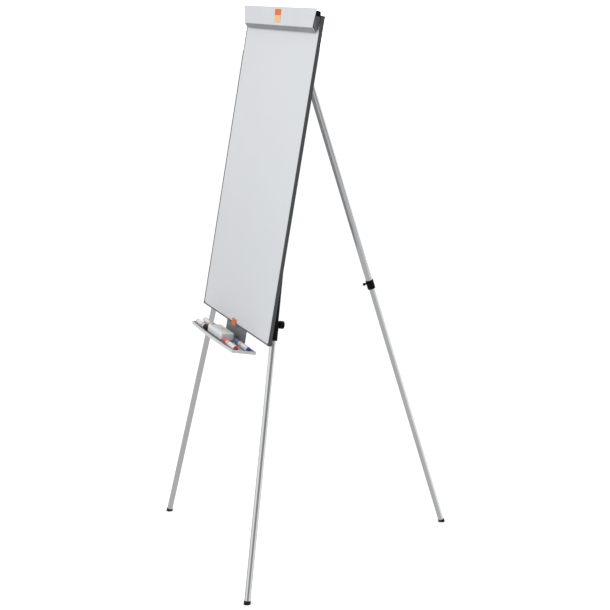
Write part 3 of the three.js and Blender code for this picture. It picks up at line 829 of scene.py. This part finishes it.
def tube_part(node, place):
    """A round tube as long and wide as its CAD node, with rounded lips."""
    low, high = local_box(node, place)
    r = (high.x - low.x) / 2
    inside = r - WALL
    return turned([
        (inside, low.z + LIP), (inside + LIP, low.z), (r - LIP, low.z), (r, low.z + LIP),
        (r, high.z - LIP), (r - LIP, high.z), (inside + LIP, high.z), (inside, high.z - LIP),
    ], 96)


def dress_leg(name):
    """Outer tube bored for its pivot, inner tube, plug, collar, knob and foot."""
    place, rear = LEG[name], name == "rear"
    upper, upper_slot = ("tube", "aluminium") if rear else ("black_paint", "black_paint")
    outer, inner = f"outer_tube_{name}", f"inner_tube_{name}"
    tube = build(f"{outer}_finished", f"leg_{name}", M[upper],
                 [tube_part(outer, place)], place, [outer])
    bored(tube, TO_X if rear else TO_Y, PIVOT_BORE, BORE_REACH)
    build(f"{inner}_finished", f"lower_leg_{name}", M["tube"],
          [tube_part(inner, place)], place, [inner])
    add_top_plug(name, place)
    add_collar(name, place)
    if rear:
        add_ball_knob(name, place)
    else:
        add_lobed_knob(name, place)
    add_foot(name, place)


def add_top_plug(name, place):
    """Plug pushed into the tube's top, with a rounded rim."""
    node = f"top_plug_{name}"
    low, high = local_box(node, place)
    r = (high.x - low.x) / 2
    top = high.z
    plug = turned([
        (0, low.z), (r - 2.1, low.z), (r - 1.8, low.z + 0.6), (r - 1.8, top - 3.2), (r, top - 3.2),
        (r, top - 1.6), (r - 0.7, top - 0.5), (r - 2.2, top), (r - 5, top - 0.2), (0, top - 0.5),
    ])
    build(f"{node}_finished", f"leg_{name}", M["black"], [plug], place, [node])


def add_collar(name, place):
    """Sleeve with a rolled lip at each end, two shallow grooves and a boss for its knob."""
    node = f"clamp_collar_{name}"
    low, high = local_box(node, place)
    tube_end = local_box(f"outer_tube_{name}", place)[0].z
    inner_low, inner_high = local_box(f"inner_tube_{name}", place)
    bore = (inner_high.x - inner_low.x) / 2 + GAP
    r = (high.x - low.x) / 2
    wide = min(r - 1.2, 11.6)
    step = tube_end - GAP
    profile = [(bore, low.z), (r - 1.2, low.z), (r - 0.3, low.z + 0.4), (r, low.z + 1.4)]
    for groove in (low.z + 5, high.z - 5):
        profile += [(r, groove - 0.9), (r - 0.5, groove - 0.4)]
        profile += [(r - 0.5, groove + 0.4), (r, groove + 0.9)]
    profile += [(r, high.z - 1.4), (r - 0.4, high.z - 0.4), (r - 1.0, high.z), (wide, high.z)]
    profile += [(wide, step), (bore, step)]
    parts = [turned(profile, 80)]
    knob_low, knob_high = local_box(f"clamp_knob_{name}", place)
    z = (knob_low.z + knob_high.z) / 2
    sign = 1 if (knob_low.y + knob_high.y) > 0 else -1
    reach = (knob_low.y if sign > 0 else -knob_high.y) - GAP
    girth = 0.32 * (knob_high.z - knob_low.z)
    boss = turned([
        (0, r - 2), (girth, r - 2), (girth, reach - 0.4), (girth - 0.4, reach), (0, reach),
    ], 40)
    aim = TO_Y if sign > 0 else TO_MINUS_Y
    parts.append(moved(boss, shift(0, 0, z) @ aim))
    build(f"{node}_finished", f"leg_{name}", M["black"], parts, place, [node])


def knob_place(name, place):
    """Where a knob's axis starts, which way it points, its radius and its depth."""
    low, high = local_box(f"clamp_knob_{name}", place)
    outwards = (low.y + high.y) > 0
    start = low.y if outwards else high.y
    aim = TO_Y if outwards else TO_MINUS_Y
    seat = shift((low.x + high.x) / 2, start, (low.z + high.z) / 2) @ aim
    return seat, (high.z - low.z) / 2, high.y - low.y


def add_lobed_knob(name, place):
    """Eight-lobed hand knob with a skirt, a rounded rim and a dished end."""
    seat, r, depth = knob_place(name, place)
    lobes = 0.045
    knob = turned([
        (0, 0), (r * 0.9, 0), (r * 0.97, 0.5), (r, 1.2, lobes), (r, depth * 0.92, lobes),
        (r * 0.98, depth * 0.97, lobes), (r * 0.94, depth, lobes), (r * 0.8, depth, 0.03),
        (r * 0.74, depth * 0.97), (r * 0.6, depth * 0.9), (0, depth * 0.88),
    ], 128, flutes=8)
    build(f"clamp_knob_{name}_finished", f"knob_{name}", M["knob"],
          [moved(knob, seat)], place, [f"clamp_knob_{name}"])


def add_ball_knob(name, place):
    """Small ball knob on a waisted neck."""
    seat, r, depth = knob_place(name, place)
    centre = depth - r
    neck = [(0, 0), (r * 0.62, 0), (r * 0.5, centre * 0.25), (r * 0.5, centre * 0.35)]
    angles = [radians(-58 + 148 * k / 16) for k in range(16)]
    ball = [(r * cos(a), centre + r * sin(a)) for a in angles]
    knob = turned([*neck, *ball, (0, depth)], 48)
    build(f"clamp_knob_{name}_finished", f"knob_{name}", M["knob"],
          [moved(knob, seat)], place, [f"clamp_knob_{name}"])


def add_foot(name, place):
    """Ribbed rubber foot, flat where it meets the floor."""
    node = f"foot_{name}"
    low, high = local_box(node, place)
    inner_low, inner_high = local_box(f"inner_tube_{name}", place)
    r = (high.x - low.x) / 2
    pocket = (inner_high.x - inner_low.x) / 2 + GAP
    top = high.z
    profile = [(0, low.z - 6), (r, low.z - 6), (r, top - 6.6)]
    for rib in (top - 6, top - 3.4):
        profile += [(r, rib - 0.5), (r - 0.5, rib - 0.2), (r - 0.5, rib + 0.2), (r, rib + 0.5)]
    profile += [(r, top - 0.9), (r - 0.3, top - 0.2), (r - 0.8, top), (pocket, top)]
    profile += [(pocket, inner_low.z - GAP), (0, inner_low.z - GAP)]
    to_local = place.inverted()
    plane = (to_local @ Vector((0, 0, 0)) / MM, to_local.to_3x3() @ Vector((0, 0, 1)))
    build(f"{node}_finished", f"lower_leg_{name}", M["rubber"], [turned(profile, 72)],
          place, [node], cut=plane)


# ---- Floor, light and camera -------------------------------------------------------------

FLOOR_HALF = 40.0
CAMERA_AT = (4.6850, -1.7527, 1.8551)
CAMERA_TURN = 69.564            # degrees from looking along +y, towards -x
CAMERA_DROP = 12.047            # degrees below the horizon
CAMERA_ROLL = -0.298
CAMERA_LENS = 91.08
CAMERA_SENSOR = 36.0
CAMERA_SHIFT = (-0.0304, 0.0111)
CAMERA_REACH = 200.0
FLOOR_GLOW = 0.35
BACKDROP_GLOW = 1.2
WORLD_LIGHT = 0.88
FLOOR_LIGHT = 0.58              # of the world below the horizon, against above it
CARD_LIGHT = 0.33               # of the grey card, against the white around it
CARD_ON, CARD_OFF = (-49, -37), (66, 80)    # its soft edges, in degrees from +x towards +y
CARD_TOP = (0.5, 0.7)           # its soft top, as a height on the unit sphere
SIDE_ON = (28, 42)              # where the world below the horizon turns white, in degrees
SIDE_FOOT = (-0.36, -0.26)
HORIZON = (-0.05, 0.0)


def standing(name, vertices, faces, surface):
    """A mesh that belongs to the stage and not to the easel."""
    mesh = bpy.data.meshes.new(name)
    mesh.from_pydata(vertices, [], faces)
    mesh.materials.append(surface.material)
    return in_scene(name, mesh)


def add_floor():
    """Pale floor that no reflection shows."""
    s = Surface("pale_floor", specular=0.0)
    s.tinted(s.noise(0.8, 3), (0.86, 0.86, 0.86), 0.01)
    s.roughness(s.noise(3, 2), 0.9, 1.0)
    s.glow(FLOOR_GLOW)
    signs = [(-1, -1), (1, -1), (1, 1), (-1, 1)]
    corners = [(x * FLOOR_HALF, y * FLOOR_HALF, 0) for x, y in signs]
    floor = standing("floor", corners, [(0, 1, 2, 3)], s)
    floor.visible_glossy = False


def add_backdrop():
    """White surround that only the camera sees."""
    s = Surface("white_surround", specular=0.0)
    s.tinted(s.noise(0.1, 2), (0.9, 0.9, 0.9), 0.01)
    s.glow(BACKDROP_GLOW)
    far = FLOOR_HALF - 1
    rings = [(far, -0.5), (far, 12), (far * 0.8, 24), (far * 0.4, 32), (0, 34)]
    vertices, faces = turned([(0, -0.5), *rings])
    backdrop = standing("backdrop", vertices, faces, s)
    backdrop.visible_diffuse = False
    backdrop.visible_glossy = False
    backdrop.visible_transmission = False
    backdrop.visible_volume_scatter = False
    backdrop.visible_shadow = False


def add_world():
    """White above the horizon, grey below it, and a grey card around the camera's side."""
    world = bpy.data.worlds.new("studio")
    bpy.context.scene.world = world
    world.use_nodes = True
    tree = world.node_tree
    link = tree.links.new

    def maths(operation, first, second):
        """One sum on two sockets or numbers."""
        node = tree.nodes.new("ShaderNodeMath")
        node.operation = operation
        for socket, value in zip(node.inputs, (first, second)):
            if isinstance(value, float):
                socket.default_value = value
            else:
                link(value, socket)
        return node.outputs[0]

    def step(value, edge):
        """0 below an edge, 1 above it, smooth between its two ends."""
        node = tree.nodes.new("ShaderNodeMapRange")
        node.interpolation_type = "SMOOTHSTEP"
        node.inputs["From Min"].default_value, node.inputs["From Max"].default_value = edge
        link(value, node.inputs["Value"])
        return node.outputs["Result"]

    def opposite(share):
        """1 less a share."""
        return maths("SUBTRACT", 1.0, share)

    def bearing(edge):
        """A step in the direction round from +x."""
        return step(angle, [radians(end) for end in edge])

    space = tree.nodes.new("ShaderNodeTexCoord")
    split = tree.nodes.new("ShaderNodeSeparateXYZ")
    link(space.outputs["Generated"], split.inputs[0])
    height = split.outputs["Z"]
    angle = maths("ARCTAN2", split.outputs["Y"], split.outputs["X"])
    card = maths("MULTIPLY", bearing(CARD_ON), opposite(bearing(CARD_OFF)))
    card = maths("MULTIPLY", card, opposite(step(height, CARD_TOP)))
    upper = opposite(maths("MULTIPLY", card, 1.0 - CARD_LIGHT))
    side = maths("MULTIPLY", bearing(SIDE_ON), step(height, SIDE_FOOT))
    lower = maths("ADD", FLOOR_LIGHT, maths("MULTIPLY", side, 1.0 - FLOOR_LIGHT))
    above = step(height, HORIZON)
    value = maths("ADD", maths("MULTIPLY", above, upper),
                  maths("MULTIPLY", opposite(above), lower))
    background = tree.nodes["Background"]
    link(value, background.inputs["Color"])
    background.inputs["Strength"].default_value = WORLD_LIGHT


KEY_AT, KEY_AIM = (1.5, -3.5, 3.2), (0, -0.2, 1.2)
KEY_SIDE = 2.2
KEY_POWER = 60


def add_key_light():
    """Square softbox above and in front of the easel."""
    light = bpy.data.lights.new("key", "AREA")
    light.shape = "RECTANGLE"
    light.size, light.size_y = KEY_SIDE, KEY_SIDE
    light.energy = KEY_POWER
    lamp = in_scene("key", light)
    lamp.location = KEY_AT
    lamp.rotation_euler = (Vector(KEY_AIM) - Vector(KEY_AT)).to_track_quat("-Z", "Y").to_euler()


def add_camera():
    """Camera fitted to the photo."""
    turned_by, drop, roll = radians(CAMERA_TURN), radians(CAMERA_DROP), radians(CAMERA_ROLL)
    forward = Vector((-sin(turned_by) * cos(drop), cos(turned_by) * cos(drop), -sin(drop)))
    right = forward.cross(Vector((0, 0, 1))).normalized()
    up = right.cross(forward)
    rolled_right = right * cos(roll) + up * sin(roll)
    rolled_up = up * cos(roll) - right * sin(roll)
    data = bpy.data.cameras.new("camera")
    data.lens = CAMERA_LENS
    data.sensor_width = CAMERA_SENSOR
    data.shift_x, data.shift_y = CAMERA_SHIFT
    data.clip_end = CAMERA_REACH
    camera = in_scene("camera", data)
    camera.matrix_world = placed(rolled_right, rolled_up, -forward, CAMERA_AT)
    bpy.context.scene.camera = camera


def dress_stage():
    """Surroundings, light and camera."""
    bpy.context.scene.view_settings.view_transform = "Standard"
    add_floor()
    add_backdrop()
    add_world()
    add_key_light()
    add_camera()


# ---- Everything --------------------------------------------------------------------------

dress_board()
dress_clamp()
dress_tray()
for ink in ("black", "green", "red", "blue"):
    add_marker(ink)
add_eraser()
dress_brackets()
for leg in LEGS:
    dress_leg(leg)
dress_stage()
